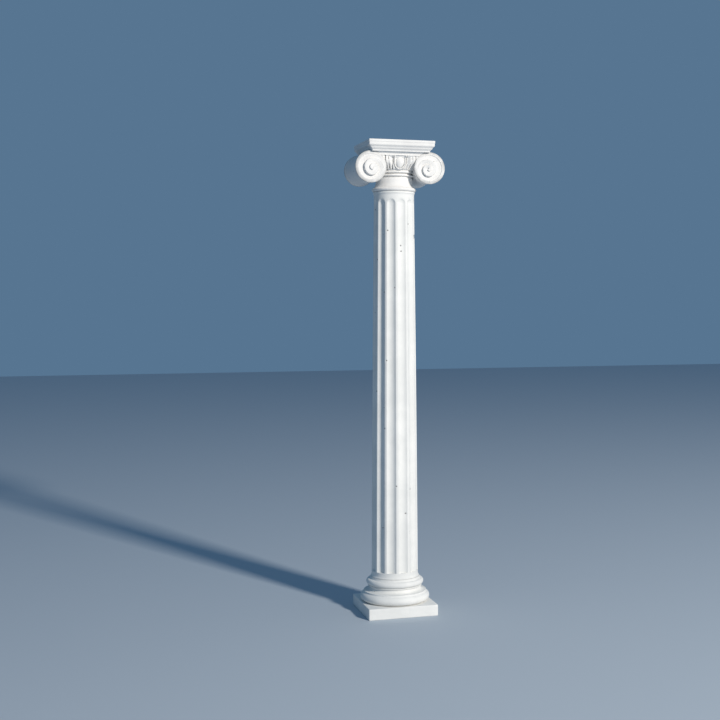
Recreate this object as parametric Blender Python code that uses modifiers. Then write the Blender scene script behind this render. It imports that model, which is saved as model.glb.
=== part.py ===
"""A fluted column of the Ionic order in cast stone: base, shaft and capital.

Each of the three is cast in one piece and stands on the one below by its own weight.
Metres, +Z up. The front faces -Y and the origin is the middle of the plinth's underside.
"""
import math

import bmesh
import bpy
from mathutils import Matrix, Vector

# Whole column
HEIGHT = 2.300
BED_GAP = 0.0003
OVERLAP = 0.003

# Base, from the ground up
PLINTH_WIDTH = 0.346
PLINTH_HEIGHT = 0.054
PLINTH_EDGE = 0.0015
LOWER_TORUS_SETBACK = 0.002
LOWER_TORUS_HEIGHT = 0.047
LOWER_TORUS_SWELL = 0.026
LOWER_FILLET_HEIGHT = 0.006
LOWER_FILLET_SETBACK = 0.0165
SCOTIA_HEIGHT = 0.023
SCOTIA_WAIST_RADIUS = 0.125
SCOTIA_WAIST_SHARE = 0.62
UPPER_FILLET_HEIGHT = 0.005
UPPER_FILLET_RADIUS = 0.1335
UPPER_TORUS_HEIGHT = 0.030
UPPER_TORUS_RADIUS = 0.1415
UPPER_TORUS_SWELL = 0.014
BASE_SEAT_HEIGHT = 0.010
BASE_SEAT_SPREAD = 0.005
BASE_SEAT_MARGIN = 0.0015
ROLL_FACETS = 36

# Shaft
SHAFT_LOWER_RADIUS = 0.1147
SHAFT_UPPER_RADIUS = 0.0985
ENTASIS_POWER = 1.25
SHAFT_FOOT_SPREAD = 0.0045
SHAFT_FOOT_HEIGHT = 0.020
SHAFT_FOOT_FLAT = 0.004
SHAFT_TOP_SPREAD = 0.003
SHAFT_TOP_SWEEP = 0.012
SHAFT_TOP_FILLET = 0.009
SHAFT_FACETS = 60
TAPER_STEPS = 3
FLUTES = 12
FLUTE_FILLET_ANGLE = math.radians(6.5)
FLUTE_DEPTH = 0.0105
FLUTE_FOOT_RISE = 0.0095
FLUTE_HEAD_DROP = 0.0185
FLUTE_HEAD_ANGLES = (20, 38, 56)
FLUTE_FACETS = 5
FLUTE_TURN = math.radians(7.3)

# Capital, from its underside up
RING_RADIUS = 0.109
RING_HEIGHT = 0.018
NECK_RADIUS = 0.0895
NECK_SWEEP_HEIGHT = 0.030
NECK_SWEEP_RADIUS = 0.1035
NECK_HEIGHT = 0.0235
LOWER_BEAD_HEIGHT = 0.009
LOWER_BEAD_RADIUS = 0.0965
BEAD_SPACING = 0.0065
BEAD_GROOVE_RADIUS = 0.0905
UPPER_BEAD_HEIGHT = 0.009
UPPER_BEAD_RADIUS = 0.1005
ECHINUS_FOOT_RADIUS = 0.0965
ECHINUS_RADIUS = 0.117
ECHINUS_HEIGHT = 0.070
CANALIS_HEIGHT = 0.0175
CANALIS_RECESS = 0.001
CAPITAL_FACETS = 32
ABACUS_FOOT_WIDTH = 0.286
ABACUS_WIDTH = 0.326
ABACUS_FOOT_FILLET = 0.003
ABACUS_MOULDING_HEIGHT = 0.025
ABACUS_MOULDING_STEPS = 2
ABACUS_MOULDING_WAVE = 0.5
ABACUS_MOULDING_POINTS = 8
ABACUS_FASCIA_HEIGHT = 0.0125
ABACUS_FASCIA_SETBACK = 0.0015
ABACUS_FILLET_HEIGHT = 0.013

# Volutes and the bolsters between them
VOLUTE_RADIUS = 0.0755
VOLUTE_CENTRE_OFFSET = 0.145
VOLUTE_SINK = 0.0012
VOLUTE_FACE_SPACING = 0.254
VOLUTE_EYE_INSET = 0.008
VOLUTE_EYE_DROP = 0.006
VOLUTE_DOME_RISE = 0.005
VOLUTE_DOME_RADIUS = 0.054
BOLSTER_RIM_THICKNESS = 0.013
BOLSTER_GROOVE = 0.0035
BOLSTER_GROOVE_WIDTH = 0.006
BOLSTER_WAIST_RADIUS = 0.0705
BOLSTER_FACETS = 24
SPIRAL_START_RADIUS = 0.0715
SPIRAL_PITCH = 0.0266
SPIRAL_TURNS = 2.3
SPIRAL_GROOVE_RADIUS = 0.0045
SPIRAL_STEPS = 11

# Egg and leaf carving on the echinus
EGG_HALF_WIDTH = 0.0215
EGG_HALF_HEIGHT = 0.0255
EGG_BULGE = 0.0085
EGG_CENTRE_HEIGHT = 0.036
EGG_FACETS = 10
BOSS_END_SINK = 0.002
SHELL_GAP = 0.0062
SHELL_BEAD_RADIUS = 0.0038
SHELL_LIFT = 0.001
SHELL_OPENING = math.radians(46)
SHELL_STEPS = 10
LEAF_LOBES = 3
LEAF_TIP_ANGLE = math.radians(20.5)
LEAF_TIP_SPACING = math.radians(8.5)
LEAF_TIP_RISE = 0.007
LEAF_ROOT_OUT = 0.064
LEAF_ROOT_SPACING = 0.011
LEAF_ROOT_INSET = 0.011
LEAF_HALF_WIDTH = 0.0052
LEAF_BULGE = 0.0090
LEAF_FACETS = 6

STONE_COLOUR = (0.83, 0.82, 0.80, 1.0)
STONE_ROUGHNESS = 0.85

# Heights that follow from the sizes above
BASE_HEIGHT = (PLINTH_HEIGHT + LOWER_TORUS_HEIGHT + LOWER_FILLET_HEIGHT + SCOTIA_HEIGHT
               + UPPER_FILLET_HEIGHT + UPPER_TORUS_HEIGHT + BASE_SEAT_HEIGHT)
NECK_TOP = RING_HEIGHT + NECK_SWEEP_HEIGHT + NECK_HEIGHT
ECHINUS_FOOT = NECK_TOP + LOWER_BEAD_HEIGHT + BEAD_SPACING + UPPER_BEAD_HEIGHT
CANALIS_FOOT = ECHINUS_FOOT + ECHINUS_HEIGHT
ABACUS_FOOT = CANALIS_FOOT + CANALIS_HEIGHT
CAPITAL_HEIGHT = (ABACUS_FOOT + ABACUS_FOOT_FILLET + ABACUS_MOULDING_HEIGHT
                  + ABACUS_FASCIA_HEIGHT + ABACUS_FILLET_HEIGHT)
SHAFT_BOTTOM = BASE_HEIGHT + BED_GAP
CAPITAL_BOTTOM = HEIGHT - CAPITAL_HEIGHT
SHAFT_TOP = CAPITAL_BOTTOM - BED_GAP
SHAFT_FOOT_RADIUS = SHAFT_LOWER_RADIUS + SHAFT_FOOT_SPREAD
BASE_SEAT_RADIUS = SHAFT_FOOT_RADIUS + BASE_SEAT_MARGIN


def clear_scene():
    for thing in list(bpy.data.objects):
        bpy.data.objects.remove(thing, do_unlink=True)


def new_collection(name):
    group = bpy.data.collections.new(name)
    bpy.context.scene.collection.children.link(group)
    return group


def stone(name):
    """Off-white cast stone with a matt face."""
    material = bpy.data.materials.new(name)
    material.use_nodes = True
    shader = material.node_tree.nodes["Principled BSDF"]
    shader.inputs["Base Color"].default_value = STONE_COLOUR
    shader.inputs["Roughness"].default_value = STONE_ROUGHNESS
    shader.inputs["Metallic"].default_value = 0.0
    return material


def place(thing, collection, hidden=False):
    collection.objects.link(thing)
    if hidden:
        thing.hide_render = True
        thing.display_type = "WIRE"
    return thing


def arc(centre, radius_out, radius_up, start, end, steps):
    """Points on part of an ellipse in the profile plane, angles in degrees from straight out."""
    points = []
    for step in range(steps + 1):
        angle = math.radians(start + (end - start) * step / steps)
        points.append((centre[0] + radius_out * math.cos(angle),
                       centre[1] + radius_up * math.sin(angle)))
    return points


def turned(name, profile, steps, collection, hidden=False):
    """A solid of revolution from (radius, height) points that run from top to bottom."""
    mesh = bpy.data.meshes.new(name)
    vertices = [(radius, 0.0, height) for radius, height in profile]
    edges = [(index, index + 1) for index in range(len(profile) - 1)]
    mesh.from_pydata(vertices, edges, [])
    thing = place(bpy.data.objects.new(name, mesh), collection, hidden)
    screw = thing.modifiers.new("Turn", "SCREW")
    screw.steps = steps
    screw.render_steps = steps
    screw.use_merge_vertices = True
    screw.merge_threshold = 0.00001
    return thing


def combine(thing, other, operation):
    cut = thing.modifiers.new(operation.title(), "BOOLEAN")
    cut.operation = operation
    cut.solver = "EXACT"
    cut.object = other


def tube(name, path, radii, collection, sides_step):
    """A closed tube along a path, as a mesh, so that it can join or cut another solid."""
    curve = bpy.data.curves.new(name, "CURVE")
    curve.dimensions = "3D"
    curve.bevel_depth = 1.0
    curve.bevel_resolution = sides_step
    curve.use_fill_caps = True
    spline = curve.splines.new("POLY")
    spline.points.add(len(path) - 1)
    for point, place_at, radius in zip(spline.points, path, radii):
        point.co = (*place_at, 1.0)
        point.radius = radius
    guide = bpy.data.objects.new(name + " guide", curve)
    bpy.context.scene.collection.objects.link(guide)
    bpy.context.view_layer.update()
    graph = bpy.context.evaluated_depsgraph_get()
    mesh = bpy.data.meshes.new_from_object(guide.evaluated_get(graph))
    bpy.data.objects.remove(guide, do_unlink=True)
    bpy.data.curves.remove(curve)
    shape = bmesh.new()
    shape.from_mesh(mesh)
    bmesh.ops.remove_doubles(shape, verts=shape.verts, dist=0.000001)
    bmesh.ops.recalc_face_normals(shape, faces=shape.faces)
    shape.to_mesh(mesh)
    shape.free()
    mesh.name = name
    return place(bpy.data.objects.new(name, mesh), collection, hidden=True)


def make_base(collection, cutters):
    """Square plinth with two rolls and a hollow between them, cast in one."""
    level = PLINTH_HEIGHT
    torus_radius = PLINTH_WIDTH / 2 - LOWER_TORUS_SETBACK
    torus_core = torus_radius - LOWER_TORUS_SWELL
    fillet_radius = torus_radius - LOWER_FILLET_SETBACK
    torus_start = math.degrees(math.acos(1 - LOWER_FILLET_SETBACK / LOWER_TORUS_SWELL))
    torus = arc((torus_core, level + LOWER_TORUS_HEIGHT / 2), LOWER_TORUS_SWELL,
                LOWER_TORUS_HEIGHT / 2, torus_start, -90, 7)
    level += LOWER_TORUS_HEIGHT
    level += LOWER_FILLET_HEIGHT
    scotia_lip = UPPER_FILLET_RADIUS - SCOTIA_WAIST_RADIUS
    waist_level = level + SCOTIA_HEIGHT * SCOTIA_WAIST_SHARE
    scotia_upper = arc((UPPER_FILLET_RADIUS, waist_level), -scotia_lip,
                       level + SCOTIA_HEIGHT - waist_level, 90, 0, 3)
    scotia_lower = arc((fillet_radius, waist_level), -(fillet_radius - SCOTIA_WAIST_RADIUS),
                       waist_level - level, 0, -90, 4)
    level += SCOTIA_HEIGHT
    upper_fillet = [(UPPER_FILLET_RADIUS, level + UPPER_FILLET_HEIGHT)]
    level += UPPER_FILLET_HEIGHT
    upper_torus = arc((UPPER_TORUS_RADIUS - UPPER_TORUS_SWELL, level + UPPER_TORUS_HEIGHT / 2),
                      UPPER_TORUS_SWELL, UPPER_TORUS_HEIGHT / 2, 80, -90, 6)
    level += UPPER_TORUS_HEIGHT
    seat_foot = (BASE_SEAT_RADIUS + BASE_SEAT_SPREAD, level)
    profile = [(0.0, BASE_HEIGHT), (BASE_SEAT_RADIUS, BASE_HEIGHT), seat_foot]
    profile += upper_torus + upper_fillet + scotia_upper + scotia_lower[1:] + torus
    profile += [(torus[-1][0], PLINTH_HEIGHT - OVERLAP), (0.0, PLINTH_HEIGHT - OVERLAP)]
    rolls = turned("base rolls", profile, ROLL_FACETS, cutters, hidden=True)

    mesh = bpy.data.meshes.new("base")
    block = bmesh.new()
    bmesh.ops.create_cube(block, size=1.0)
    bmesh.ops.scale(block, vec=(PLINTH_WIDTH, PLINTH_WIDTH, PLINTH_HEIGHT), verts=block.verts)
    bmesh.ops.translate(block, vec=(0.0, 0.0, PLINTH_HEIGHT / 2), verts=block.verts)
    block.to_mesh(mesh)
    block.free()
    base = place(bpy.data.objects.new("base", mesh), collection)
    edge = base.modifiers.new("Worn edge", "BEVEL")
    edge.width = PLINTH_EDGE
    edge.segments = 1
    combine(base, rolls, "UNION")
    base.data.materials.append(stone("base stone"))
    return base


def shaft_radius(height):
    """The shaft tapers upward, slowly at first: a slight entasis."""
    lower = SHAFT_BOTTOM + SHAFT_FOOT_HEIGHT
    upper = SHAFT_TOP - SHAFT_TOP_FILLET - SHAFT_TOP_SWEEP
    share = min(max((height - lower) / (upper - lower), 0.0), 1.0)
    return SHAFT_LOWER_RADIUS - (SHAFT_LOWER_RADIUS - SHAFT_UPPER_RADIUS) * share ** ENTASIS_POWER


def make_shaft(collection, cutters):
    """Tapered shaft with round-headed flutes, a swept foot and a fillet at the top."""
    lower = SHAFT_BOTTOM + SHAFT_FOOT_HEIGHT
    upper = SHAFT_TOP - SHAFT_TOP_FILLET - SHAFT_TOP_SWEEP
    fillet_radius = SHAFT_UPPER_RADIUS + SHAFT_TOP_SPREAD
    profile = [(0.0, SHAFT_TOP), (fillet_radius, SHAFT_TOP),
               (fillet_radius, SHAFT_TOP - SHAFT_TOP_FILLET)]
    profile += arc((fillet_radius, upper), -SHAFT_TOP_SPREAD, SHAFT_TOP_SWEEP, 80, 0, 2)
    for step in range(1, TAPER_STEPS):
        height = upper + (lower - upper) * step / TAPER_STEPS
        profile.append((shaft_radius(height), height))
    profile += arc((SHAFT_FOOT_RADIUS, lower), -SHAFT_FOOT_SPREAD, SHAFT_FOOT_HEIGHT - SHAFT_FOOT_FLAT,
                   0, -80, 3)
    profile += [(SHAFT_FOOT_RADIUS, SHAFT_BOTTOM + SHAFT_FOOT_FLAT),
                (SHAFT_FOOT_RADIUS, SHAFT_BOTTOM), (0.0, SHAFT_BOTTOM)]
    shaft = turned("shaft", profile, SHAFT_FACETS, collection)
    shaft.rotation_euler.z = FLUTE_TURN

    half_angle = math.pi / FLUTES - FLUTE_FILLET_ANGLE / 2
    half_chord = SHAFT_LOWER_RADIUS * math.sin(half_angle)
    chord_depth = FLUTE_DEPTH - SHAFT_LOWER_RADIUS * (1 - math.cos(half_angle))
    cutter_radius = (half_chord ** 2 + chord_depth ** 2) / (2 * chord_depth)
    cutter_distance = SHAFT_LOWER_RADIUS * math.cos(half_angle) + cutter_radius - chord_depth
    foot = lower + FLUTE_FOOT_RISE
    head = upper - FLUTE_HEAD_DROP - half_chord * SHAFT_UPPER_RADIUS / SHAFT_LOWER_RADIUS
    path, radii = [], []
    for step in range(TAPER_STEPS + 1):
        height = foot + (head - foot) * step / TAPER_STEPS
        scale = shaft_radius(height) / SHAFT_LOWER_RADIUS
        path.append((cutter_distance * scale, 0.0, height))
        radii.append(cutter_radius * scale)
    last_distance, last_radius = path[-1][0], radii[-1]
    for degrees in FLUTE_HEAD_ANGLES:
        angle = math.radians(degrees)
        path.append((last_distance, 0.0, head + last_radius * math.sin(angle)))
        radii.append(last_radius * math.cos(angle))
    for flute in range(FLUTES):
        cutter = tube("flute %02d" % (flute + 1), path, radii, cutters, FLUTE_FACETS)
        cutter.rotation_euler.z = 2 * math.pi * flute / FLUTES - math.pi / 2 + FLUTE_TURN
        combine(shaft, cutter, "DIFFERENCE")
    shaft.data.materials.append(stone("shaft stone"))
    return shaft


def echinus_point(angle, rise, lift=0.0):
    """A point on the echinus by its angle from the front and its height above the foot."""
    share = min(max(1.0 - rise / ECHINUS_HEIGHT, 0.0), 1.0)
    spread = math.sqrt(1.0 - share ** 2)
    radius = ECHINUS_FOOT_RADIUS + (ECHINUS_RADIUS - ECHINUS_FOOT_RADIUS) * spread + lift
    return Vector((radius * math.sin(angle), -radius * math.cos(angle),
                   CAPITAL_BOTTOM + ECHINUS_FOOT + rise))


def boss(shape, top, bottom, half_width, bulge, sides):
    """Adds an egg-shaped boss to the shape, stretched from its top to its bottom."""
    centre = (top + bottom) / 2
    along = (top - bottom) / 2
    outward = Vector((centre.x, centre.y, 0.0)).normalized()
    across = outward.cross(along).normalized()
    frame = Matrix((across * half_width, outward * bulge, along)).transposed().to_4x4()
    bmesh.ops.create_uvsphere(shape, u_segments=sides, v_segments=sides // 2, radius=1.0,
                              matrix=Matrix.Translation(centre) @ frame)


def make_carving(cutters, side_name, half_turn):
    """An egg in its shell, with a half-palmette on each side that springs from the volute."""
    mesh = bpy.data.meshes.new("carving " + side_name)
    shape = bmesh.new()
    egg_top = echinus_point(0.0, EGG_CENTRE_HEIGHT + EGG_HALF_HEIGHT, -BOSS_END_SINK)
    egg_bottom = echinus_point(0.0, EGG_CENTRE_HEIGHT - EGG_HALF_HEIGHT, -BOSS_END_SINK)
    boss(shape, egg_top, egg_bottom, EGG_HALF_WIDTH, EGG_BULGE, EGG_FACETS)
    root_y = LEAF_ROOT_INSET - VOLUTE_FACE_SPACING / 2
    root_z = CAPITAL_BOTTOM + CANALIS_FOOT + BOSS_END_SINK
    for side in (-1, 1):
        for lobe in range(LEAF_LOBES):
            tip = echinus_point(side * (LEAF_TIP_ANGLE + LEAF_TIP_SPACING * lobe), LEAF_TIP_RISE,
                                -BOSS_END_SINK)
            root = Vector((side * (LEAF_ROOT_OUT + LEAF_ROOT_SPACING * lobe), root_y, root_z))
            boss(shape, root, tip, LEAF_HALF_WIDTH, LEAF_BULGE, LEAF_FACETS)
    shape.to_mesh(mesh)
    shape.free()
    carving = place(bpy.data.objects.new("carving " + side_name, mesh), cutters, hidden=True)
    carving.rotation_euler.z = half_turn

    path = []
    for step in range(SHELL_STEPS + 1):
        around = SHELL_OPENING + (2 * math.pi - 2 * SHELL_OPENING) * step / SHELL_STEPS
        across = (EGG_HALF_WIDTH + SHELL_GAP) * math.sin(around)
        rise = EGG_CENTRE_HEIGHT + (EGG_HALF_HEIGHT + SHELL_GAP) * math.cos(around)
        path.append(echinus_point(across / ECHINUS_RADIUS, rise, SHELL_LIFT))
    shell = tube("shell " + side_name, path, [SHELL_BEAD_RADIUS] * len(path), cutters, 1)
    shell.rotation_euler.z = half_turn
    return carving, shell


def make_spiral(cutters, side, face):
    """The groove that winds in from the rim of a volute to its eye."""
    eye_x = side * (VOLUTE_CENTRE_OFFSET - VOLUTE_EYE_INSET)
    eye_z = CAPITAL_BOTTOM + ABACUS_FOOT - VOLUTE_RADIUS + VOLUTE_SINK - VOLUTE_EYE_DROP
    path = []
    for step in range(int(SPIRAL_STEPS * SPIRAL_TURNS) + 1):
        turn = step / SPIRAL_STEPS
        angle = math.pi / 2 + 2 * math.pi * turn
        radius = SPIRAL_START_RADIUS - SPIRAL_PITCH * turn
        rise = VOLUTE_DOME_RISE * max(1.0 - radius / VOLUTE_DOME_RADIUS, 0.0)
        path.append((eye_x - side * radius * math.cos(angle),
                     face * (VOLUTE_FACE_SPACING / 2 + rise),
                     eye_z + radius * math.sin(angle)))
    name = "spiral %s %s" % ("left" if side < 0 else "right", "front" if face < 0 else "rear")
    return tube(name, path, [SPIRAL_GROOVE_RADIUS] * len(path), cutters, 0)


def make_capital(collection, cutters):
    """Neck, beads, carved echinus, four volutes on two bolsters and the abacus, in one."""
    level = CAPITAL_BOTTOM
    ring = arc((RING_RADIUS - RING_HEIGHT / 2, level + RING_HEIGHT / 2), RING_HEIGHT / 2,
               RING_HEIGHT / 2, 60, -60, 3)
    level += RING_HEIGHT
    sweep = arc((NECK_SWEEP_RADIUS, level + NECK_SWEEP_HEIGHT), -(NECK_SWEEP_RADIUS - NECK_RADIUS),
                NECK_SWEEP_HEIGHT, 0, -90, 4)
    level = CAPITAL_BOTTOM + NECK_TOP
    lower_bead = [(LOWER_BEAD_RADIUS, level + LOWER_BEAD_HEIGHT), (LOWER_BEAD_RADIUS, level),
                  (NECK_RADIUS, level)]
    level += LOWER_BEAD_HEIGHT + BEAD_SPACING
    upper_bead = [(UPPER_BEAD_RADIUS, level + UPPER_BEAD_HEIGHT), (UPPER_BEAD_RADIUS, level),
                  (BEAD_GROOVE_RADIUS, level), (BEAD_GROOVE_RADIUS, level - BEAD_SPACING)]
    echinus_top = CAPITAL_BOTTOM + CANALIS_FOOT
    echinus = arc((ECHINUS_FOOT_RADIUS, echinus_top), ECHINUS_RADIUS - ECHINUS_FOOT_RADIUS,
                  ECHINUS_HEIGHT, 0, -90, 4)
    profile = [(0.0, echinus_top + OVERLAP), (ECHINUS_RADIUS, echinus_top + OVERLAP)]
    profile += echinus + upper_bead + lower_bead + sweep + ring[:-1]
    profile += [(ring[-1][0], CAPITAL_BOTTOM), (0.0, CAPITAL_BOTTOM)]
    capital = turned("capital", profile, CAPITAL_FACETS, collection)

    foot = CAPITAL_BOTTOM + ABACUS_FOOT
    moulding_foot = foot + ABACUS_FOOT_FILLET
    fascia_foot = moulding_foot + ABACUS_MOULDING_HEIGHT
    fascia_top = fascia_foot + ABACUS_FASCIA_HEIGHT
    half_foot = ABACUS_FOOT_WIDTH / 2
    half_top = ABACUS_WIDTH / 2
    half_fascia = half_top - ABACUS_FASCIA_SETBACK
    abacus_profile = [(0.0, HEIGHT), (half_top, HEIGHT), (half_top, fascia_top), (half_fascia, fascia_top)]
    for point in range(ABACUS_MOULDING_POINTS, -1, -1):
        share = point / ABACUS_MOULDING_POINTS
        waves = 2 * math.pi * ABACUS_MOULDING_STEPS
        reach = share - ABACUS_MOULDING_WAVE * math.sin(waves * share) / waves
        abacus_profile.append((half_foot + (half_fascia - half_foot) * reach,
                               moulding_foot + ABACUS_MOULDING_HEIGHT * share))
    abacus_profile += [(half_foot, foot), (0.0, foot)]
    diagonal = math.sqrt(2.0)
    abacus = turned("abacus", [(radius * diagonal, height) for radius, height in abacus_profile],
                    4, cutters, hidden=True)
    abacus.rotation_euler.z = math.pi / 4

    block_mesh = bpy.data.meshes.new("canalis")
    block = bmesh.new()
    bmesh.ops.create_cube(block, size=1.0)
    block_height = CANALIS_HEIGHT + OVERLAP
    bmesh.ops.scale(block, verts=block.verts, vec=(
        2 * VOLUTE_CENTRE_OFFSET - OVERLAP, VOLUTE_FACE_SPACING - 2 * CANALIS_RECESS, block_height))
    bmesh.ops.translate(block, verts=block.verts, vec=(
        0.0, 0.0, CAPITAL_BOTTOM + CANALIS_FOOT + block_height / 2))
    block.to_mesh(block_mesh)
    block.free()
    canalis = place(bpy.data.objects.new("canalis", block_mesh), cutters, hidden=True)

    half = VOLUTE_FACE_SPACING / 2
    rim = half - BOLSTER_RIM_THICKNESS
    front_half = [(0.0, half + VOLUTE_DOME_RISE), (VOLUTE_DOME_RADIUS, half), (VOLUTE_RADIUS, half),
                  (VOLUTE_RADIUS, rim), (VOLUTE_RADIUS - BOLSTER_GROOVE, rim - BOLSTER_GROOVE_WIDTH / 2),
                  (VOLUTE_RADIUS - BOLSTER_GROOVE / 3, rim - BOLSTER_GROOVE_WIDTH)]
    middle = [(BOLSTER_WAIST_RADIUS, 0.0)]
    back_half = [(radius, -height) for radius, height in reversed(front_half)]
    centre_z = CAPITAL_BOTTOM + ABACUS_FOOT - VOLUTE_RADIUS + VOLUTE_SINK
    for side in (-1, 1):
        name = "bolster left" if side < 0 else "bolster right"
        bolster = turned(name, front_half + middle + back_half, BOLSTER_FACETS, cutters, hidden=True)
        bolster.rotation_euler.x = math.pi / 2
        bolster.location = (side * VOLUTE_CENTRE_OFFSET, 0.0, centre_z)
        combine(capital, bolster, "UNION")
    combine(capital, canalis, "UNION")
    combine(capital, abacus, "UNION")
    for side_name, half_turn in (("front", 0.0), ("rear", math.pi)):
        for relief in make_carving(cutters, side_name, half_turn):
            combine(capital, relief, "UNION")
    for side in (-1, 1):
        for face in (-1, 1):
            combine(capital, make_spiral(cutters, side, face), "DIFFERENCE")
    capital.data.materials.append(stone("capital stone"))
    return capital


def build():
    clear_scene()
    parts = new_collection("ionic column")
    cutters = new_collection("cutters")
    stand = bpy.data.objects.new("column", None)
    parts.objects.link(stand)
    for piece in (make_base(parts, cutters), make_shaft(parts, cutters), make_capital(parts, cutters)):
        piece.parent = stand


build()
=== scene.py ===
"""The looks of a fluted Ionic column in pale cast stone: base, shaft and capital."""
import math

import bpy
import numpy as np
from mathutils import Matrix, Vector, noise


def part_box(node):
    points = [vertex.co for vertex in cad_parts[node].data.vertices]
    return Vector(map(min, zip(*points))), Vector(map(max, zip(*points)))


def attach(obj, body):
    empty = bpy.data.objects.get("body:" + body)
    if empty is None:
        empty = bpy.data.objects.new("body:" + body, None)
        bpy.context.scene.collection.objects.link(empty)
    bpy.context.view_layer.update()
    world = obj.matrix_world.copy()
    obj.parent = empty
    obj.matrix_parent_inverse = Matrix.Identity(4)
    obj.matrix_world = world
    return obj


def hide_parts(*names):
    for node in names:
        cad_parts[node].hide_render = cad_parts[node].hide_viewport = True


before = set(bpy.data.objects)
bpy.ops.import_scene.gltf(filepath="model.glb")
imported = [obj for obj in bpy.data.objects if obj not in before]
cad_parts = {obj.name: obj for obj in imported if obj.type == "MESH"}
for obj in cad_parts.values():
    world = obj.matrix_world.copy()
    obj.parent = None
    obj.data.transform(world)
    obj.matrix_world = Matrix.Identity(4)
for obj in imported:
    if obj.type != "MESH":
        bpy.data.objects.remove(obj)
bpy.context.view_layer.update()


# The base
# A square plinth with two round rolls and a hollow between them, cast in one piece and set
# on the ground. The mould's edges came out a little rounded, with pinholes from air.

base_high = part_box("base")[1]
plinth_half = base_high.x
plinth_top = 0.054
plinth_edge = 0.0016
plinth_corner = 0.003
lower_roll_root = 0.1445
lower_roll_bed = 0.003
lower_roll_inset = 0.002
lower_roll_swell = 0.026
lower_roll_height = 0.047
hollow_foot_radius = 0.1545
hollow_foot_height = 0.1070
waist_radius = 0.1250
waist_height = 0.1213
hollow_head_radius = 0.1335
hollow_head_height = 0.1300
upper_roll_foot = 0.1350
upper_roll_centre = 0.1275
upper_roll_swell = 0.014
upper_roll_height = 0.030
seat_foot_radius = 0.1255
seat_foot_height = 0.1655
seat_radius = 0.1215
seat_height = 0.1745
moulding_wear = 0.0014
unevenness_scale = 22
ripple_scale = 75
crease_angle = math.radians(38)
stone_light = (0.84, 0.83, 0.80, 1.0)
stone_dark = (0.70, 0.70, 0.68, 1.0)
# Dark tone for grime and painted shade in the hollows.
grime_and_shade_tone = (0.30, 0.30, 0.29, 1.0)
hole_shade = (0.17, 0.17, 0.16, 1.0)


def arc(out, up, reach_out, reach_up, start, end, steps):
    """Points of a moulding's curve, as distance from the axis and height."""
    angles = np.radians(np.linspace(start, end, steps + 1))
    return [(out + reach_out * math.cos(a), up + reach_up * math.sin(a)) for a in angles]


def soften(profile, radius):
    """Rounds each hard corner of a moulding as casting and weather round it."""
    nearly_straight = math.radians(150)
    most_of_side = 0.45
    soft = [profile[0]]
    for before, corner, after in zip(profile, profile[1:], profile[2:]):
        to_before = Vector(before) - Vector(corner)
        to_after = Vector(after) - Vector(corner)
        if to_before.length < 1e-9 or to_after.length < 1e-9:
            continue
        if to_before.angle(to_after) > nearly_straight:
            soft.append(corner)
            continue
        cut_before = to_before.normalized() * min(radius, to_before.length * most_of_side)
        cut_after = to_after.normalized() * min(radius, to_after.length * most_of_side)
        for share in (0.0, 0.33, 0.67, 1.0):
            point = Vector(corner) + cut_before * (1 - share) ** 2 + cut_after * share ** 2
            soft.append(tuple(point))
    soft.append(profile[-1])
    return soft


def skin(rings):
    """A closed shell stretched over rings that all have the same number of points."""
    count = len(rings[0])
    points = [tuple(point) for ring in rings for point in ring]
    faces = []
    for row in range(len(rings) - 1):
        for place in range(count):
            after = (place + 1) % count
            faces.append((row * count + place, row * count + after,
                          (row + 1) * count + after, (row + 1) * count + place))
    faces.append(tuple(reversed(range(count))))
    last = (len(rings) - 1) * count
    faces.append(tuple(range(last, last + count)))
    return points, faces


def turned(profile, steps):
    """A shell of revolution about the column's axis, its profile running upward."""
    angles = np.linspace(0, 2 * math.pi, steps, endpoint=False)
    return skin([[(out * math.cos(a), out * math.sin(a), up) for a in angles] for out, up in profile])


def block_ring(half_x, half_y, height, corner, steps):
    """One level course of a rectangular block with rounded corners, as a ring of points."""
    corner_steps = 3
    ring = []
    for turn, (side_x, side_y) in enumerate(((1, -1), (1, 1), (-1, 1), (-1, -1))):
        centre = Vector((side_x * (half_x - corner), side_y * (half_y - corner)))
        for step in range(corner_steps + 1):
            angle = math.pi / 2 * (turn - 1 + step / corner_steps)
            ring.append((centre.x + corner * math.cos(angle), centre.y + corner * math.sin(angle), height))
        length_y = 2 * (half_y - corner)
        length_x = 2 * (half_x - corner)
        along = ((0, length_y), (-length_x, 0), (0, -length_y), (length_x, 0))[turn]
        last = ring[-1]
        for step in range(1, steps):
            share = step / steps
            ring.append((last[0] + along[0] * share, last[1] + along[1] * share, height))
    return ring


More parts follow.
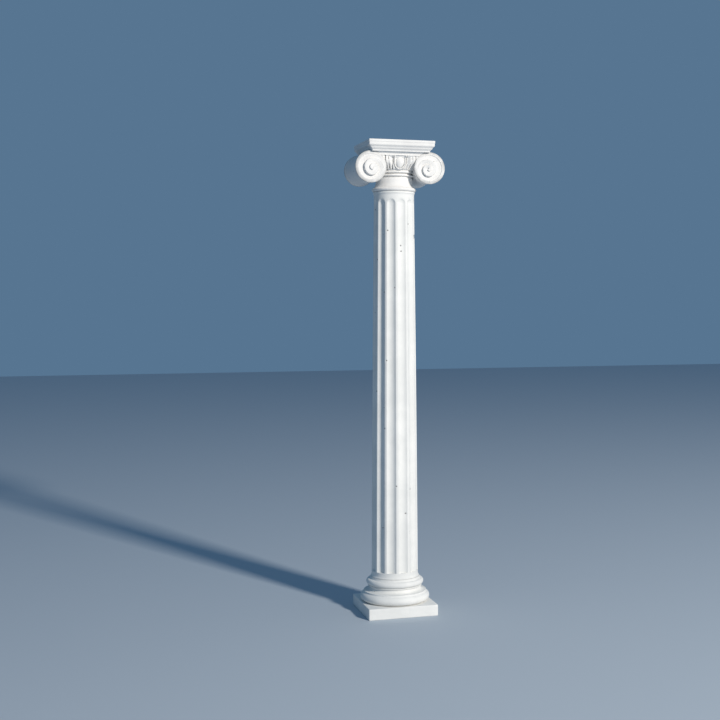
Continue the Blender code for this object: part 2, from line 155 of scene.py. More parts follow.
def cast(name, shells, wear, seed, hole_shade_mark=0.0):
    """One casting from its shells, its faces slightly uneven, with hollows and the painted shade of its air
    holes marked.
    """
    points, faces = [], []
    for shell_points, shell_faces in shells:
        start = len(points)
        points += shell_points
        faces += [tuple(start + index for index in face) for face in shell_faces]
    mesh = bpy.data.meshes.new(name)
    mesh.from_pydata(points, [], faces)
    mesh.update()
    place = np.empty(len(points) * 3)
    facing = np.empty(len(points) * 3)
    mesh.vertices.foreach_get("co", place)
    mesh.vertices.foreach_get("normal", facing)
    place = place.reshape(-1, 3)
    facing = facing.reshape(-1, 3)
    shift = Vector((seed * 3.7, seed * 1.9, seed * 5.3))
    uneven = [noise.noise(Vector(p) * unevenness_scale + shift) * 0.6
              + noise.noise(Vector(p) * ripple_scale + shift) * 0.4 for p in place]
    place += facing * (np.array(uneven) * wear - wear)[:, None]
    mesh.vertices.foreach_set("co", place.ravel())
    mesh.update()
    mesh.shade_smooth()
    mesh.set_sharp_from_angle(angle=crease_angle)

    ends = np.empty(len(mesh.edges) * 2, int)
    mesh.edges.foreach_get("vertices", ends)
    ends = ends.reshape(-1, 2)
    along = place[ends[:, 1]] - place[ends[:, 0]]
    along /= np.linalg.norm(along, axis=1)[:, None] + 1e-12
    # How concave the surface is at each point; the stone material darkens concave places with grime and
    # painted shade.
    hollow = np.zeros(len(points))
    meeting = np.zeros(len(points))
    for end, sign in ((0, 1.0), (1, -1.0)):
        np.add.at(hollow, ends[:, end], sign * (facing[ends[:, end]] * along).sum(axis=1))
        np.add.at(meeting, ends[:, end], 1.0)
    hollow /= np.maximum(meeting, 1)
    for spread in range(2):
        total = hollow.copy()
        np.add.at(total, ends[:, 0], hollow[ends[:, 1]])
        np.add.at(total, ends[:, 1], hollow[ends[:, 0]])
        hollow = total / (meeting + 1)
    mark = mesh.attributes.new("hollow", "FLOAT", "POINT")
    mark.data.foreach_set("value", hollow + hole_shade_mark)
    piece = bpy.data.objects.new(name, mesh)
    bpy.context.scene.collection.objects.link(piece)
    return piece


def cast_stone(name, light, dark, pit_share, grime_and_shade_share):
    """Pale cast stone: cloudy in tone, fine-grained, with pinholes painted dark as shade, and grime and
    painted shade darkening its hollows.
    """
    material = bpy.data.materials.new(name)
    material.use_nodes = True
    tree = material.node_tree
    shader = tree.nodes["Principled BSDF"]
    shader.inputs["Specular IOR Level"].default_value = 0.25

    def node(kind, **settings):
        made = tree.nodes.new(kind)
        for key, value in settings.items():
            setattr(made, key, value)
        return made

    def socket(made, name_or_index, value):
        if isinstance(value, bpy.types.NodeSocket):
            tree.links.new(value, made.inputs[name_or_index])
        else:
            made.inputs[name_or_index].default_value = value

    def cloud(scale, detail, roughness=0.6, stretch=(1.0, 1.0, 1.0)):
        spread = node("ShaderNodeMapping")
        socket(spread, "Vector", place.outputs["Object"])
        socket(spread, "Scale", stretch)
        made = node("ShaderNodeTexNoise")
        socket(made, "Vector", spread.outputs["Vector"])
        socket(made, "Scale", scale)
        socket(made, "Detail", detail)
        socket(made, "Roughness", roughness)
        return made.outputs["Fac"]

    def ramp(value, low, high):
        made = node("ShaderNodeMapRange", interpolation_type="SMOOTHSTEP")
        socket(made, "Value", value)
        socket(made, "From Min", low)
        socket(made, "From Max", high)
        return made.outputs["Result"]

    def math_of(operation, first, second):
        made = node("ShaderNodeMath", operation=operation)
        socket(made, 0, first)
        socket(made, 1, second)
        return made.outputs["Value"]

    def blend(amount, first, second):
        made = node("ShaderNodeMix", data_type="RGBA")
        socket(made, "Factor", amount)
        socket(made, 6, first)
        socket(made, 7, second)
        return made.outputs[2]

    place = node("ShaderNodeTexCoord")
    clouds = ramp(cloud(scale=7.0, detail=5.0), low=0.38, high=0.66)
    streak = cloud(scale=26.0, detail=3.0, roughness=0.55, stretch=(1.0, 1.0, 0.09))
    streaks = ramp(streak, low=0.52, high=0.78)
    grain = cloud(scale=520.0, detail=2.0)
    crumb = cloud(scale=140.0, detail=3.0)

    # Pinholes are painted dark with hole_shade, as painted shade inside each hole.
    pits = node("ShaderNodeTexVoronoi")
    socket(pits, "Vector", place.outputs["Object"])
    socket(pits, "Scale", 42.0)
    chance = node("ShaderNodeSeparateColor")
    socket(chance, "Color", pits.outputs["Color"])
    is_pit = math_of("LESS_THAN", chance.outputs["Red"], pit_share)
    pit_size = math_of("ADD", math_of("MULTIPLY", chance.outputs["Green"], 0.10), 0.06)
    pit_edge = math_of("SUBTRACT", pit_size, pits.outputs["Distance"])
    pit = math_of("MULTIPLY", ramp(pit_edge, low=0.0, high=0.04), is_pit)

    marks = node("ShaderNodeAttribute", attribute_name="hollow")
    # Air holes marked on the mesh are painted dark the same way, as painted shade.
    pit = math_of("MAXIMUM", pit, ramp(marks.outputs["Fac"], low=0.9, high=1.5))
    # Concave places are darkened, partly as grime and partly as painted shade in grooves and creases.
    hollow = ramp(marks.outputs["Fac"], low=0.03, high=0.30)
    grime_and_shade = math_of("MULTIPLY", hollow, ramp(cloud(scale=30.0, detail=3.0), low=0.25, high=0.6))

    specks = ramp(grain, low=0.55, high=0.72)
    tone = light
    layers = ((math_of("SUBTRACT", 1.0, clouds), 0.55, dark), (streaks, 0.22, dark), (specks, 0.40, dark),
              (grime_and_shade, grime_and_shade_share, grime_and_shade_tone), (pit, 0.85, hole_shade))
    for where, strength, shade in layers:
        tone = blend(math_of("MULTIPLY", where, strength), tone, shade)
    socket(shader, "Base Color", tone)
    rough = node("ShaderNodeMapRange")
    socket(rough, "Value", crumb)
    socket(rough, "To Min", 0.78)
    socket(rough, "To Max", 0.95)
    socket(shader, "Roughness", rough.outputs["Result"])

    relief = math_of("ADD", math_of("MULTIPLY", grain, 0.25), math_of("MULTIPLY", crumb, 0.6))
    relief = math_of("SUBTRACT", relief, math_of("MULTIPLY", pit, 2.0))
    bump = node("ShaderNodeBump")
    bump.inputs["Strength"].default_value = 0.5
    bump.inputs["Distance"].default_value = 0.0012
    socket(bump, "Height", relief)
    socket(shader, "Normal", bump.outputs["Normal"])
    return material


def plinth():
    """The square block under the rolls."""
    half = plinth_half
    profile = [(half - plinth_edge, 0.0), (half - plinth_edge / 3, plinth_edge / 3)]
    profile += [(half, height) for height in np.linspace(plinth_edge, plinth_top - plinth_edge, 9)]
    profile += [(half - plinth_edge / 3, plinth_top - plinth_edge / 3), (half - plinth_edge, plinth_top)]
    profile += [(half * share, plinth_top) for share in (0.94, 0.88, 0.8, 0.6, 0.3)]
    return skin([block_ring(reach, reach, height, plinth_corner, steps=32) for reach, height in profile])


def base_rolls():
    """Lower roll, fillet, hollow, fillet, upper roll and the round seat for the shaft."""
    profile = [(lower_roll_root, plinth_top - lower_roll_bed)]
    profile += arc(plinth_half - lower_roll_inset - lower_roll_swell, plinth_top + lower_roll_height / 2,
                   lower_roll_swell, lower_roll_height / 2, -90, 68, 24)
    profile += arc(hollow_foot_radius, waist_height, waist_radius - hollow_foot_radius,
                   waist_height - hollow_foot_height, -90, 0, 12)
    profile += arc(hollow_head_radius, waist_height, waist_radius - hollow_head_radius,
                   hollow_head_height - waist_height, 0, 90, 8)[1:]
    profile += [(hollow_head_radius, upper_roll_foot)]
    profile += arc(upper_roll_centre, upper_roll_foot + upper_roll_height / 2,
                   upper_roll_swell, upper_roll_height / 2, -90, 80, 18)
    profile += [(seat_foot_radius, seat_foot_height), (seat_radius, seat_height)]
    profile += [(seat_radius, base_high.z)]
    return turned(soften(profile, moulding_wear), steps=144)


base_stone = cast_stone("base stone", stone_light, stone_dark, pit_share=0.10, grime_and_shade_share=0.50)
base = cast("base_casting", [plinth(), base_rolls()], wear=0.0004, seed=1)
base.data.materials.append(base_stone)
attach(base, "root")
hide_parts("base")


# The shaft
# One long casting, thinner toward the top, with twelve round-headed flutes parted by flat
# fillets. It was cast upright in a mould, so air holes are scattered over it.

shaft_low, shaft_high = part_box("shaft")
flutes = 12
flute_turn = math.radians(7.3)
fillet_angle = math.radians(6.5)
flute_depth = 0.0105
shaft_foot_radius = 0.1147
shaft_head_radius = 0.0985
shaft_swelling = 1.25
foot_fillet_height = 0.004
foot_sweep_height = 0.016
foot_sweep_out = 0.0045
head_fillet_height = 0.009
head_sweep_height = 0.012
head_sweep_out = 0.003
foot_sweep_top = shaft_low.z + foot_fillet_height + foot_sweep_height
head_fillet_foot = shaft_high.z - head_fillet_height
head_sweep_foot = head_fillet_foot - head_sweep_height
flute_foot_gap = 0.0095
flute_foot = foot_sweep_top + flute_foot_gap
flute_head_gap = 0.0185
arris_wear = 0.0007
arris_wear_width = 0.0012
bed_share = 0.993
# Each air hole, and the chip, is given as degrees round from the front and height.
air_holes = ((-33.6, 1.873), (34.2, 1.905), (5.4, 1.800), (6.8, 1.773), (-68.3, 1.734), (-44.6, 1.576),
             (-35.8, 1.245), (-68.0, 1.094), (-41.2, 0.915), (-10.6, 0.633), (32.9, 0.614), (15.0, 0.498),
             (-48.7, 0.428), (141.0, 1.62), (198.0, 0.97), (171.0, 1.31), (232.0, 0.55), (109.0, 0.72))
air_hole_width = 0.0030
air_hole_depth = 0.0034
arris_chip = (78.0, 1.847)
arris_chip_width = 0.0075
arris_chip_depth = 0.0080
flaw_reach = 2.0


def shaft_radius(height):
    """The shaft's radius over the fillets, with its slight swelling."""
    share = min(max((height - foot_sweep_top) / (head_sweep_foot - foot_sweep_top), 0.0), 1.0)
    radius = shaft_foot_radius - (shaft_foot_radius - shaft_head_radius) * share ** shaft_swelling
    if height < foot_sweep_top:
        drop = min((foot_sweep_top - height) / foot_sweep_height, 1.0)
        radius += foot_sweep_out * (1 - math.sqrt(1 - drop ** 2))
    if height > head_sweep_foot:
        rise = min((height - head_sweep_foot) / head_sweep_height, 1.0)
        radius += head_sweep_out * (1 - math.sqrt(1 - rise ** 2))
    return radius


half_angle = math.pi / flutes - fillet_angle / 2
half_chord = shaft_foot_radius * math.sin(half_angle)
chord_depth = flute_depth - shaft_foot_radius * (1 - math.cos(half_angle))
gouge_radius = (half_chord ** 2 + chord_depth ** 2) / (2 * chord_depth)
gouge_distance = shaft_foot_radius * math.cos(half_angle) + gouge_radius - chord_depth
flute_spring = head_sweep_foot - flute_head_gap - half_chord * shaft_head_radius / shaft_foot_radius


def hole_depth(near, angle, height):
    """How deep the surface sinks at a place, from the air holes and the chip close to its level."""
    depth = 0.0
    for turn, level, width, deep in near:
        along = math.remainder(angle + math.pi / 2 - turn, 2 * math.pi) * shaft_head_radius
        away = math.hypot(along, height - level) / width
        if away < flaw_reach:
            depth += deep * math.exp(-away ** 4)
    return depth


def flaws():
    """Air holes and the chip as angle from the front, height, half width and depth."""
    holes = [(math.radians(turn), level, air_hole_width, air_hole_depth) for turn, level in air_holes]
    return holes + [(math.radians(arris_chip[0]), arris_chip[1], arris_chip_width, arris_chip_depth)]


def shaft_ring(height, flute_steps=18, fillet_steps=6):
    """One level round of the shaft. Its points follow the edges of the flutes, also at their heads."""
    radius = shaft_radius(height)
    gouge = gouge_radius * radius / shaft_foot_radius
    distance = gouge_distance * radius / shaft_foot_radius
    if height > flute_spring:
        scale = shaft_radius(flute_spring) / shaft_foot_radius
        climb = height - flute_spring
        distance = gouge_distance * scale
        gouge = math.sqrt(max((gouge_radius * scale) ** 2 - climb ** 2, 0.0))
    reach = (radius ** 2 + distance ** 2 - gouge ** 2) / (2 * radius * distance)
    fluted = height > flute_foot and reach < 1.0
    width = math.acos(reach) if fluted else half_angle
    near = [flaw for flaw in flaws() if abs(flaw[1] - height) < flaw_reach * flaw[2]]
    ring = []
    for flute in range(flutes):
        middle = flute_turn - math.pi / 2 + 2 * math.pi * flute / flutes
        for step in range(flute_steps):
            angle = -width * math.cos(math.pi * step / flute_steps)
            out = radius
            if fluted:
                inside = max(gouge ** 2 - (distance * math.sin(angle)) ** 2, 0.0)
                out = min(distance * math.cos(angle) - math.sqrt(inside), radius - arris_wear)
            out -= hole_depth(near, middle + angle, height)
            ring.append((out * math.cos(middle + angle), out * math.sin(middle + angle), height))
        land = 2 * math.pi / flutes - 2 * width
        for step in range(fillet_steps):
            share = step / fillet_steps
            angle = middle + width + land * (0.5 - 0.5 * math.cos(math.pi * share))
            edge = min(share, 1 - share) * land * radius
            out = radius - (arris_wear * math.exp(-edge / arris_wear_width) if fluted else 0.0)
            out -= hole_depth(near, angle, height)
            ring.append((out * math.cos(angle), out * math.sin(angle), height))
    return ring


def shaft_heights():
    """Levels of the shaft's rounds, close together wherever its form changes."""
    head_end = flute_spring + half_chord * shaft_head_radius / shaft_foot_radius
    levels = [shaft_low.z, shaft_low.z + 0.0015]
    levels += list(np.linspace(shaft_low.z + foot_fillet_height, foot_sweep_top, 9))
    levels += [flute_foot + away for away in (-0.003, -0.0002, 0.0004, 0.003)]
    levels += list(np.linspace(flute_foot + 0.012, flute_spring, 110))
    arch = np.sin(np.radians(np.linspace(5, 90, 17)))
    levels += list(flute_spring + (head_end - flute_spring - 0.0002) * arch)
    levels += [head_end + away for away in (0.0006, 0.006)]
    levels += list(np.linspace(head_sweep_foot, head_fillet_foot - 0.0004, 7))
    levels += [head_fillet_foot, head_fillet_foot + 0.004, shaft_high.z - 0.001, shaft_high.z]
    for turn, level, width, deep in flaws():
        levels += [level + width * share for share in (-1.5, -1.0, -0.55, 0.0, 0.55, 1.0, 1.5)]
    return sorted(levels)


def shaft_rings():
    """The shaft's rounds from foot to head, drawn in a little at the two bed faces."""
    rings = []
    for height in shaft_heights():
        ring = shaft_ring(height)
        if height in (shaft_low.z, shaft_high.z):
            ring = [(bed_share * x, bed_share * y, z) for x, y, z in ring]
        rings.append(ring)
    return rings


def painted_hole_shade(rings):
    """Painted shade for the air holes and the chip: two at the bottom of each, nothing on sound stone."""
    darkest = 2.0
    marks = [(turn, level, width, darkest) for turn, level, width, deep in flaws()]
    hole_shade_mark = []
    for x, y, z in (point for ring in rings for point in ring):
        near = [mark for mark in marks if abs(mark[1] - z) < flaw_reach * mark[2]]
        hole_shade_mark.append(hole_depth(near, math.atan2(y, x), z) if near else 0.0)
    return np.array(hole_shade_mark)


shaft_stone = cast_stone("shaft stone", stone_light, stone_dark, pit_share=0.09, grime_and_shade_share=0.50)
rounds = shaft_rings()
# The air holes carry a mark that paints shade into them.
shaft = cast("shaft_casting", [skin(rounds)], wear=0.0003, seed=2, hole_shade_mark=painted_hole_shade(rounds))
shaft.data.materials.append(shaft_stone)
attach(shaft, "root")
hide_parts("shaft")


# The capital: neck and echinus
# The lower, round half of the one casting that crowns the column: a ring, a plain neck, two
# beads, and a swelling cushion carved front and back with an egg in its shell among leaves.

capital_low, capital_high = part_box("capital")
capital_wear = 0.0008
ring_root = 0.100
ring_swell = 0.009
neck_foot_radius = 0.1035
neck_foot_height = 0.018
neck_radius = 0.0895
neck_height = 0.048
groove_radii = (0.0845, 0.0870)
groove_heights = ((0.0668, 0.0710), (0.0808, 0.0868))
bead_radii = (0.0925, 0.0962)
bead_heights = (0.0760, 0.0915)
bead_swells = (0.0042, 0.0045)
bead_half_height = 0.0045
echinus_height = 0.070
echinus_foot = capital_low.z + 0.0965
echinus_top = echinus_foot + echinus_height
echinus_foot_radius = 0.0965
echinus_radius = 0.117
echinus_core = 0.112
carved_half_angle = math.radians(46)
ground_depth = 0.0030
egg_height = 0.036
egg_half_width = 0.0215
egg_half_height = 0.0265
egg_swell = 0.0095
shell_width = 0.0095
shell_rim_inset = 0.0048
shell_rim_half_width = 0.0046
shell_rim_swell = 0.0082
leaf_swell = 0.0060
leaf_ripple = 0.0012
leaf_ripple_pitch = 0.0135
leaf_middle = 0.0456
leaf_ground = 0.0034
# Each slot between the leaf's lobes: distance from the middle, foot, head, half width and depth.
leaf_slots = ((0.0386, 0.007, 0.030, 0.0026, 0.0090), (0.0527, 0.007, 0.034, 0.0026, 0.0090),
              (0.0530, 0.050, 0.068, 0.0018, 0.0050), (0.0345, 0.028, 0.067, 0.0022, 0.0060))
leaf_edge = 0.0665
leaf_edge_lean = 0.06
leaf_edge_height = 0.035
leaf_edge_half_width = 0.0022
leaf_edge_depth = 0.0080
leaf_plane = 0.1205
band_plane = 0.1235


def eased(value, start, end):
    """From nothing at the start to one at the end, without a kink at either."""
    share = min(max((value - start) / (end - start), 0.0), 1.0)
    return share * share * (3 - 2 * share)


def bump_of(distance, half_width):
    """A rounded rib or groove: one at its middle, nothing beyond its half width."""
    share = abs(distance) / half_width
    return (1 - share ** 2) ** 0.75 if share < 1 else 0.0


def teardrop(across, rise, foot, head, half_width):
    """A pointed drop cut between two leaf tips, widest near its foot."""
    share = (rise - foot) / (head - foot)
    if not 0 < share < 1:
        return 0.0
    width = half_width * math.sin(math.pi * share ** 0.55)
    return bump_of(across, width) if width > 1e-6 else 0.0


def carving(angle, rise):
    """How far the carved echinus stands out at an angle from its middle and a height."""
    across = echinus_radius * angle
    up = (rise - egg_height) / egg_half_height
    taper = 1 + 0.10 * up
    egg = math.hypot(across / (egg_half_width * taper), up)
    if egg < 1.0:
        return egg_swell * (1 - egg ** 2) ** 0.65 - ground_depth
    shell_up = min((rise - egg_height) / (egg_half_height + shell_width), 0.0)
    shell = math.hypot(across / (egg_half_width + shell_width), shell_up)
    beyond = (shell - 1.0) * (egg_half_width + shell_width)
    if beyond < 0:
        return shell_rim_swell * bump_of(beyond + shell_rim_inset, shell_rim_half_width) - ground_depth
    side = abs(across)
    leaf = leaf_swell * min(1.0, max(0.0, (rise - 0.003) / 0.006)) ** 0.5
    leaf += leaf_ripple * math.cos(2 * math.pi * (side - leaf_middle) / leaf_ripple_pitch)
    cuts = sum(teardrop(side - middle, rise, foot, head, half_width) * depth
               for middle, foot, head, half_width, depth in leaf_slots)
    edge = side - leaf_edge - leaf_edge_lean * (leaf_edge_height - rise)
    cuts += bump_of(edge, leaf_edge_half_width) * leaf_edge_depth
    return leaf - cuts - leaf_ground


def echinus_out(rise):
    """Radius of the plain cushion at a height over its foot."""
    share = min(max(1.0 - rise / echinus_height, 0.0), 1.0)
    return echinus_foot_radius + (echinus_radius - echinus_foot_radius) * math.sqrt(1.0 - share ** 2)


def corner_fill(angle, rise):
    """How far the half-palmette swells out in the corner by the volute, and the top under the band."""
    side = abs(angle)
    low = echinus_out(rise)
    ending = eased(carved_half_angle - side, 0.0, math.radians(4))
    leaf = eased(rise, 0.010, 0.052) * eased(side, math.radians(16), math.radians(25)) * ending
    top = eased(rise, 0.055, 0.0695) * ending
    to_leaf = max(leaf_plane / math.cos(side) - low, 0.0)
    to_band = max(band_plane / math.cos(side) - low, 0.0)
    return max(leaf * to_leaf, top * to_band)


def capital_body():
    """Ring, neck, beads and carved echinus as one shell, finely divided where it is carved."""
    carved = np.linspace(-carved_half_angle, carved_half_angle, 168)
    plain = np.linspace(carved_half_angle, math.pi - carved_half_angle, 28)[1:-1]
    angles = np.concatenate([carved, plain, carved + math.pi, plain + math.pi]) - math.pi / 2
    from_middle = np.concatenate([carved, np.full(len(plain), np.nan)] * 2)
    low = capital_low.z
    profile = [(ring_root, low), (ring_root + ring_swell / 2, low + 0.0006)]
    profile += arc(ring_root, low + ring_swell, ring_swell, ring_swell, -60, 60, 10)
    profile += arc(neck_foot_radius, low + neck_height, neck_radius - neck_foot_radius,
                   neck_height - neck_foot_height, -90, 0, 12)
    profile += [(neck_radius, low + 0.0660)]
    for groove, (foot, head), bead, middle, swell in zip(groove_radii, groove_heights, bead_radii,
                                                        bead_heights, bead_swells):
        profile += [(groove, low + foot), (groove, low + head)]
        profile += arc(bead, low + middle, swell, bead_half_height, -80, 80, 8)
    rings = [[(out * math.cos(a), out * math.sin(a), up) for a in angles]
             for out, up in soften(profile, capital_wear)]
    for rise in np.linspace(0.0006, echinus_height - 0.0005, 84):
        ring = []
        for angle, offset in zip(angles, from_middle):
            out = echinus_out(rise)
            if not math.isnan(offset):
                out += carving(offset, rise) * min(rise / 0.002, 1.0) + corner_fill(offset, rise)
            ring.append((out * math.cos(angle), out * math.sin(angle), echinus_foot + rise))
        rings.append(ring)
    rings.append([(echinus_core * math.cos(a), echinus_core * math.sin(a), echinus_top + 0.003)
                  for a in angles])
    return skin(rings)


# The capital: bolsters and volutes
# A roll of stone runs from front to back on each side of the same casting, waisted and
# edged with a ring, and ends at both faces in a scroll that steps up toward its eye.

slab_seat = capital_low.z + 0.184
volute_radius = 0.0755
volute_out = 0.145
volute_lap = 0.0012
volute_height = slab_seat - volute_radius + volute_lap
volute_face = 0.127
eye_inset = 0.0075
eye_drop = 0.0058
rim_width = 0.0150
rim_step = 0.0018
# The rim's outer edge turns back to the bolster: distance inside the outline, and level.
rim_return = ((0.0022, 0.0), (0.0002, -0.0014), (0.0002, -0.0110), (0.0030, -0.0145))
scroll_wear = 0.0012
scroll_wall_start = 0.0502
scroll_pitch = 0.0258
scroll_end = 1096
scroll_step = 0.0155
scroll_step_loss = 0.0085
scroll_dish = 0.0085
scroll_dish_loss = 0.0072
bolster_core = 0.060
bolster_end = 0.0090
bolster_lip_back = 0.0150
bolster_lip_swell = 0.0030
bolster_lip_half_width = 0.0025
bolster_groove = 0.0040
bolster_ring_back = 0.0235
bolster_ring_swell = 0.0026
bolster_ring_half_width = 0.0050
bolster_roll_back = 0.0310
bolster_waist = 0.0025


def wall_radius(degrees):
    """Distance from the eye to the scroll's stepped edge, after so many degrees of winding."""
    return max(scroll_wall_start - scroll_pitch * (degrees - 405) / 360, 0.0006)


def outline_radius(degrees):
    """Distance from the eye to the volute's round outline. Winding starts on the inner side."""
    angle = math.radians(180 - degrees)
    toward = Vector((math.cos(angle), math.sin(angle)))
    offset = Vector((eye_inset, eye_drop))
    along = toward.dot(offset)
    return along + math.sqrt(along ** 2 + volute_radius ** 2 - offset.length_squared)


def step_height(degrees):
    """How high the inner winding stands over the next one out, fading out where the scroll starts."""
    full = scroll_step - scroll_step_loss * eased(degrees, 640, 960)
    return full * eased(degrees, 372, 522)


def dip(degrees):
    """How far a winding sinks from its outer edge to the foot of the next step."""
    return scroll_dish * eased(degrees, 20, 180) - scroll_dish_loss * eased(degrees, 330, 630)


def foot_level(degrees):
    """Level of a winding where the next one in rises from it, over the volute's face."""
    if degrees < 360:
        return -dip(degrees)
    return foot_level(degrees - 360) + step_height(degrees) - dip(degrees)


def winding(degrees, first):
    """Across one winding, from the foot of the next step in to the foot of its own step."""
    inner = wall_radius(degrees + 360)
    foot = foot_level(degrees)
    shares = (0.0, 0.04, 0.12, 0.25, 0.4, 0.55, 0.7, 0.82, 0.91, 0.96)
    section = []
    if first:
        outer = outline_radius(degrees)
        rim = rim_step * eased(degrees, 40, 100) * eased(-degrees, -350, -290)
        flat = max(outer - rim_width - inner, (outer - inner) * 0.35)
        joining = eased(degrees, 250, 360)
        for share in shares + (1.0,):
            dished = foot - (foot * 0.8 + rim) * eased(share, 0.0, 1.0)
            reach = min(flat * share / max(wall_radius(degrees) - inner, 0.001), 1.0)
            swelling = foot - foot * math.sin(math.pi / 2 * reach)
            section.append((inner + flat * share, dished + (swelling - dished) * joining))
        section.append((inner + flat + (outer - inner - flat) * 0.08, 0.0))
        section += [(outer - inset, level) for inset, level in rim_return]
        return section
    outer = wall_radius(degrees)
    below = foot_level(degrees - 360)
    top = below + step_height(degrees)
    wide = outer - inner
    for share in shares:
        section.append((inner + wide * share, foot + (top - foot) * math.sin(math.pi / 2 * share)))
    worn = min(scroll_wear, wide * 0.1)
    section += [(outer - worn, top - worn * 0.25), (outer - worn * 0.3, top - worn * 0.8),
                (outer, below + (top - below) * 0.5), (outer + 0.0002, below + (top - below) * 0.2),
                (outer + 0.0003, below), (outer + 0.0003, below - 0.0015)]
    return section


def volute(side, face):
    """A scroll on one end of a bolster. side is -1 or 1 in x, and face is -1 or 1 in y."""
    eye = Vector((side * (volute_out - eye_inset), volute_height - eye_drop))
    outward = side * face > 0
    points, faces = [], []
    for first, turns in ((True, np.arange(0, 361, 4.0)), (False, np.arange(360, scroll_end + 1, 4.0))):
        start = len(points)
        for degrees in turns:
            angle = math.radians(180 - degrees)
            for out, level in winding(degrees, first):
                points.append((eye.x + side * out * math.cos(angle), face * (volute_face + level),
                               eye.y + out * math.sin(angle)))
        count = len(winding(0.0, True))
        for turn in range(len(turns) - 1):
            for place in range(count - 1):
                low = start + turn * count + place
                corners = [low, low + count, low + count + 1, low + 1]
                faces.append(tuple(corners if outward else reversed(corners)))
    return points, faces


def bolster(side):
    """The roll behind the volutes, ringed at both ends and slightly waisted."""
    edge = volute_radius
    end = volute_face
    groove = edge - bolster_groove
    half = [(bolster_core, end - bolster_end), (edge - 0.0006, end - bolster_end)]
    half += [(edge - 0.0004, end - 0.0125)]
    half += arc(edge - 0.0035, end - bolster_lip_back, bolster_lip_swell, bolster_lip_half_width, 90, 0, 3)
    half += [(groove, end - 0.0165), (groove, end - 0.0185)]
    half += arc(groove, end - bolster_ring_back, bolster_ring_swell, bolster_ring_half_width, 90, -90, 8)
    half += [(groove - 0.0006, end - 0.0300)]
    half += [(edge - 0.0030 - bolster_waist * math.sin(math.pi / 2 * share),
              (end - bolster_roll_back) * (1 - share)) for share in np.linspace(0.15, 1.0, 9)]
    profile = [(out, -along) for out, along in half] + [(out, along) for out, along in reversed(half[:-1])]
    rings = []
    for out, along in profile:
        rings.append([(side * volute_out + out * math.cos(a), along, volute_height - out * math.sin(a))
                      for a in np.linspace(0, 2 * math.pi, 96, endpoint=False)])
    return skin(rings)


# The capital: canalis and abacus
# A flat band joins the two scrolls across each face, and over it the casting ends in a square
# slab whose edge steps out in two waves to a plain band and a top fillet.

canalis_foot = echinus_top - 0.001
canalis_lap = 0.027
canalis_edge = 0.0012
backing_waist = 0.012
backing_head = 0.0026
cove_half = 0.104
cove_courses = ((0.0, 0.0110), (0.0030, 0.0075), (0.0080, 0.0035), (0.0150, -0.0010), (0.0150, -0.0030))
abacus_half = capital_high.y
abacus_foot_half = 0.143
abacus_foot = slab_seat + 0.003
fascia_setback = 0.0015
fascia_foot = abacus_foot + 0.025
fascia_top = fascia_foot + 0.0125
abacus_wave = 0.5
abacus_edge = 0.0020


def canalis():
    """The flat band between the scrolls."""
    half_x = volute_out - canalis_lap
    half_y = volute_face - 0.0008
    edge = canalis_edge
    courses = [(edge, canalis_foot), (0.0, canalis_foot + edge), (0.0, canalis_foot + 0.006),
               (0.0, slab_seat - edge - 0.003), (edge, slab_seat - 0.002), (edge, slab_seat + 0.002)]
    return skin([block_ring(half_x - inset, half_y - inset, height, corner=0.002, steps=28)
                 for inset, height in courses])


def backing():
    """The plain stone behind the scrolls that carries the slab."""
    courses = [(backing_waist, canalis_foot), (backing_waist, slab_seat - 0.009),
               (backing_head, slab_seat - 0.0075), (backing_head, slab_seat + 0.002)]
    return skin([block_ring(volute_out, volute_face - inset, height, corner=0.002, steps=12)
                 for inset, height in courses])


def cove():
    """The hollow that eases the band out under the slab, between the two scrolls."""
    half_y = volute_face - 0.0012
    return skin([block_ring(cove_half + out, half_y + out, slab_seat - down, corner=0.004, steps=24)
                 for out, down in cove_courses])


def abacus():
    """The slab: two waves, a plain band and the top fillet."""
    fascia_half = abacus_half - fascia_setback
    top = capital_high.z
    profile = [(abacus_foot_half, slab_seat - 0.001)]
    for share in np.linspace(0.0, 1.0, 29):
        reach = share - abacus_wave * math.sin(4 * math.pi * share) / (4 * math.pi)
        profile.append((abacus_foot_half + (fascia_half - abacus_foot_half) * reach,
                        abacus_foot + (fascia_foot - abacus_foot) * share))
    profile += [(fascia_half, fascia_foot + 0.004), (fascia_half, fascia_top)]
    profile += [(abacus_half, height) for height in (fascia_top + 0.0006, fascia_top + 0.006, top - 0.0012)]
    profile += [(abacus_half - abacus_edge * 0.3, top - 0.0004), (abacus_half - abacus_edge, top)]
    profile += [(abacus_half * share, top) for share in (0.93, 0.8, 0.6, 0.3)]
    return skin([block_ring(half, half, height, corner=0.003, steps=20)
                 for half, height in soften(profile, capital_wear)])


shells = [capital_body(), canalis(), backing(), cove(), abacus()]
for side in (-1, 1):
    shells.append(bolster(side))
    for face in (-1, 1):
        shells.append(volute(side, face))
capital_light = (0.85, 0.83, 0.80, 1.0)
capital_dark = (0.72, 0.70, 0.68, 1.0)
# The capital's hollows are darkened most, with grime and painted shade.
capital_stone = cast_stone("capital stone", capital_light, capital_dark, pit_share=0.06, grime_and_shade_share=0.95)
capital = cast("capital_casting", shells, wear=0.0005, seed=3)
capital.data.materials.append(capital_stone)
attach(capital, "root")
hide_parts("capital")


# The floor, the light and the camera
# A pale floor, a warm lamp low on the right like the evening sun, and cool light from
# all round.

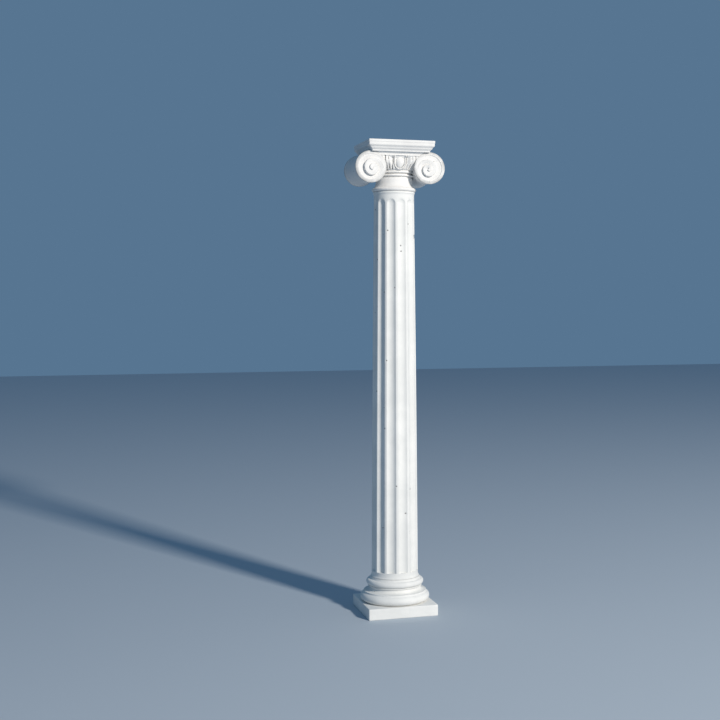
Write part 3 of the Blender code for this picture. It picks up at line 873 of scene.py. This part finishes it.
floor_reach = 20
floor_corners = [(side_x * floor_reach, side_y * floor_reach, 0)
                 for side_x, side_y in ((-1, -1), (1, -1), (1, 1), (-1, 1))]
floor_mesh = bpy.data.meshes.new("floor")
floor_mesh.from_pydata(floor_corners, [], [(0, 1, 2, 3)])
floor = bpy.data.objects.new("floor", floor_mesh)
bpy.context.scene.collection.objects.link(floor)
floor_paint = bpy.data.materials.new("floor paint")
floor_paint.use_nodes = True
floor_shader = floor_paint.node_tree.nodes["Principled BSDF"]
floor_shader.inputs["Base Color"].default_value = (0.46, 0.52, 0.58, 1.0)
floor_shader.inputs["Roughness"].default_value = 0.9
floor_mesh.materials.append(floor_paint)

lamp_turn = math.radians(24)
lamp_rise = math.radians(24)
lamp_distance = 16.0
lamp_aim_height = 1.2
lamp_data = bpy.data.lights.new("low lamp", "AREA")
lamp_data.energy = 2600
lamp_data.size = 1.4
lamp_data.color = (1.0, 0.95, 0.88)
lamp = bpy.data.objects.new("low lamp", lamp_data)
lamp_aim = Vector((math.sin(lamp_turn) * math.cos(lamp_rise), -math.cos(lamp_turn) * math.cos(lamp_rise),
                   math.sin(lamp_rise)))
lamp.location = lamp_aim * lamp_distance + Vector((0, 0, lamp_aim_height))
lamp.rotation_euler = lamp_aim.to_track_quat("Z", "Y").to_euler()
bpy.context.scene.collection.objects.link(lamp)

sky = bpy.data.worlds.new("sky")
sky.use_nodes = True
sky_light = sky.node_tree.nodes["Background"]
sky_light.inputs["Color"].default_value = (0.29, 0.54, 0.86, 1.0)
sky_light.inputs["Strength"].default_value = 0.33
bpy.context.scene.world = sky
bpy.context.scene.view_settings.view_transform = "Standard"

camera_data = bpy.data.cameras.new("camera")
camera_data.sensor_width = 36
camera_data.lens = 62.5
camera_data.shift_x = -0.125
camera = bpy.data.objects.new("camera", camera_data)
camera.location = (-1.567, -5.945, 1.551)
camera.rotation_euler = (math.radians(87.128), 0.0, math.radians(-17.32))
bpy.context.scene.collection.objects.link(camera)
bpy.context.scene.camera = camera
